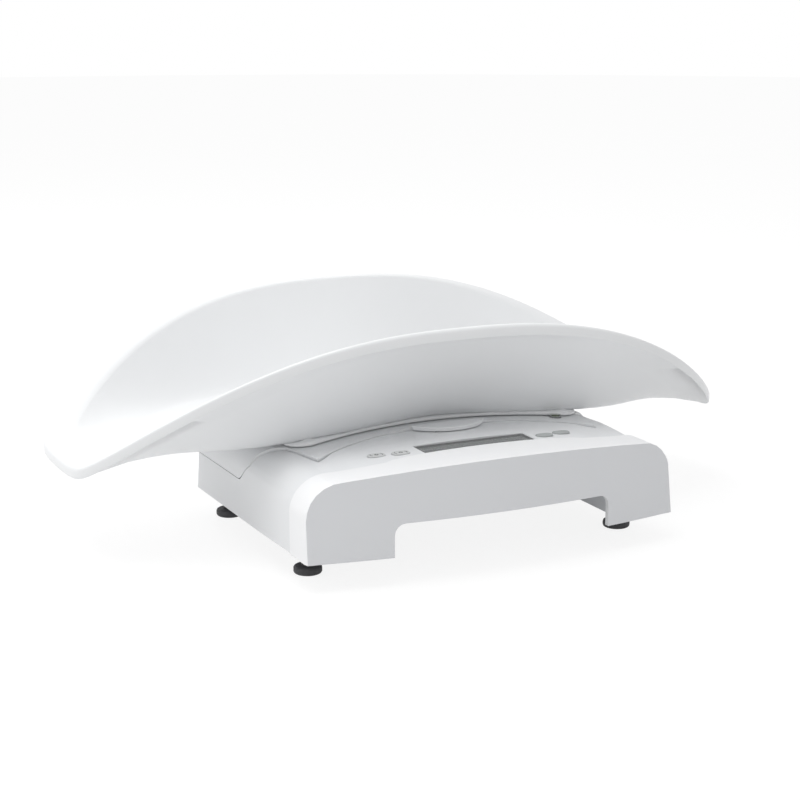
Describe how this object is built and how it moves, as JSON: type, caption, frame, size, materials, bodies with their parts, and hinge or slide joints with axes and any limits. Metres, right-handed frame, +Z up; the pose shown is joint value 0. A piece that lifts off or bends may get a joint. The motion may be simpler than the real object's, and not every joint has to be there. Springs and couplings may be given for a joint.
{
  "type": "digital baby weighing scale",
  "caption": "White baby scale: a lift-off curved tray on a bridge-shaped base with a display, oval keys, a tray release, a spirit level and screw feet.",
  "frame": {"origin": "on the floor, under the middle of the object's bounding box", "axes": "+X along the tray, +Y from the display at the front to the back, +Z up"},
  "size_m": [0.5456, 0.3194, 0.1662],
  "materials": {
    "white_housing": "satin white moulding",
    "white_platform": "satin white moulding",
    "white_tray": "satin white moulding",
    "white_release": "satin white moulding",
    "grey_plate": "light grey moulding",
    "door_grey": "light grey moulding",
    "box_grey": "grey moulding",
    "clear_window": "clear",
    "lcd_grey": "grey liquid crystal glass",
    "carrier_white": "white moulding",
    "board_green": "solder mask",
    "key_grey": "grey",
    "switch_black": "black",
    "slider_grey": "grey moulding",
    "spring_steel": "drawn wire",
    "bezel_grey": "grey moulding",
    "level_fluid": "green fluid in a clear vial",
    "black_rubber": "dark rubber",
    "foot_collar": "light collar",
    "foot_insert": "plated",
    "steel_screw": "plated",
    "cell_aluminium": "machined",
    "spacer_steel": "plated sheet",
    "cell_jacket": "printed jacket",
    "contact_nickel": "nickel plated",
    "lead_grey": "flexible jacket"
  },
  "bodies": {
    "base": {"base_housing": "white_housing", "base_plate": "grey_plate", "display_window": "clear_window", "lcd_panel": "lcd_grey", "display_carrier": "carrier_white", "main_board": "board_green", "key_switch_1": "switch_black", "key_switch_2": "switch_black", "key_switch_3": "switch_black", "key_switch_4": "switch_black", "board_screw_1": "steel_screw", "board_screw_2": "steel_screw", "plate_screw_1": "steel_screw", "plate_screw_2": "steel_screw", "plate_screw_3": "steel_screw", "plate_screw_4": "steel_screw", "foot_insert_1": "foot_insert", "foot_insert_2": "foot_insert", "foot_insert_3": "foot_insert", "foot_insert_4": "foot_insert", "load_cell": "cell_aluminium", "lower_spacer": "spacer_steel", "cell_screw_1": "steel_screw", "cell_screw_2": "steel_screw", "battery_box": "box_grey", "battery_1": "cell_jacket", "battery_2": "cell_jacket", "battery_3": "cell_jacket", "battery_4": "cell_jacket", "contact_front": "contact_nickel", "contact_back": "contact_nickel", "cell_lead": "lead_grey"},
    "platform": {"weighing_platform": "white_platform", "platform_frame": "spacer_steel", "upper_spacer": "spacer_steel", "cell_screw_3": "steel_screw", "cell_screw_4": "steel_screw", "level_bezel": "bezel_grey", "bubble_level": "level_fluid", "release_spring": "spring_steel"},
    "tray": {"tray": "white_tray"},
    "release": {"release_button": "white_release", "release_slider": "slider_grey"},
    "battery_door": {"battery_door": "door_grey"},
    "key_1": {"button_1": "key_grey"},
    "key_2": {"button_2": "key_grey"},
    "key_3": {"button_3": "key_grey"},
    "key_4": {"button_4": "key_grey"},
    "foot_1": {"foot_pad_1": "black_rubber", "foot_screw_1": "foot_collar"},
    "foot_2": {"foot_pad_2": "black_rubber", "foot_screw_2": "foot_collar"},
    "foot_3": {"foot_pad_3": "black_rubber", "foot_screw_3": "foot_collar"},
    "foot_4": {"foot_pad_4": "black_rubber", "foot_screw_4": "foot_collar"}
  },
  "joints": [
    {"name": "platform_travel", "type": "slide", "parent": "base", "child": "platform", "axis": [0, 0, -1], "range_m": [0, 0.0004], "stiffness_N_per_m": 50000, "springref_m": -0.0003},
    {"name": "tray_lift", "type": "slide", "parent": "platform", "child": "tray", "axis": [0, 0, 1], "range_m": [0, 0.15]},
    {"name": "release_press", "type": "slide", "parent": "platform", "child": "release", "axis": [0, 1, 0], "range_m": [0, 0.0015], "stiffness_N_per_m": 400, "springref_m": -0.002, "deforming": ["release_spring"]},
    {"name": "key_1_press", "type": "slide", "parent": "base", "child": "key_1", "axis": [0, 0, -1], "range_m": [0, 0.0008], "stiffness_N_per_m": 500, "springref_m": -0.0005},
    {"name": "key_2_press", "type": "slide", "parent": "base", "child": "key_2", "axis": [0, 0, -1], "range_m": [0, 0.0008], "stiffness_N_per_m": 500, "springref_m": -0.0005},
    {"name": "key_3_press", "type": "slide", "parent": "base", "child": "key_3", "axis": [0, 0, -1], "range_m": [0, 0.0008], "stiffness_N_per_m": 500, "springref_m": -0.0005},
    {"name": "key_4_press", "type": "slide", "parent": "base", "child": "key_4", "axis": [0, 0, -1], "range_m": [0, 0.0008], "stiffness_N_per_m": 500, "springref_m": -0.0005},
    {"name": "battery_door_hinge", "type": "hinge", "parent": "base", "child": "battery_door", "pos_m": [-0.1049, -0.0203, 0.03], "axis": [0, -1, 0], "range_deg": [0, 95]},
    {"name": "foot_1_turn", "type": "hinge", "parent": "base", "child": "foot_1", "pos_m": [-0.129, -0.099, 0], "axis": [0, 0, 1], "continuous": true},
    {"name": "foot_2_turn", "type": "hinge", "parent": "base", "child": "foot_2", "pos_m": [0.129, -0.099, 0], "axis": [0, 0, 1], "continuous": true},
    {"name": "foot_3_turn", "type": "hinge", "parent": "base", "child": "foot_3", "pos_m": [-0.129, 0.0584, 0], "axis": [0, 0, 1], "continuous": true},
    {"name": "foot_4_turn", "type": "hinge", "parent": "base", "child": "foot_4", "pos_m": [0.129, 0.0584, 0], "axis": [0, 0, 1], "continuous": true}
  ]
}
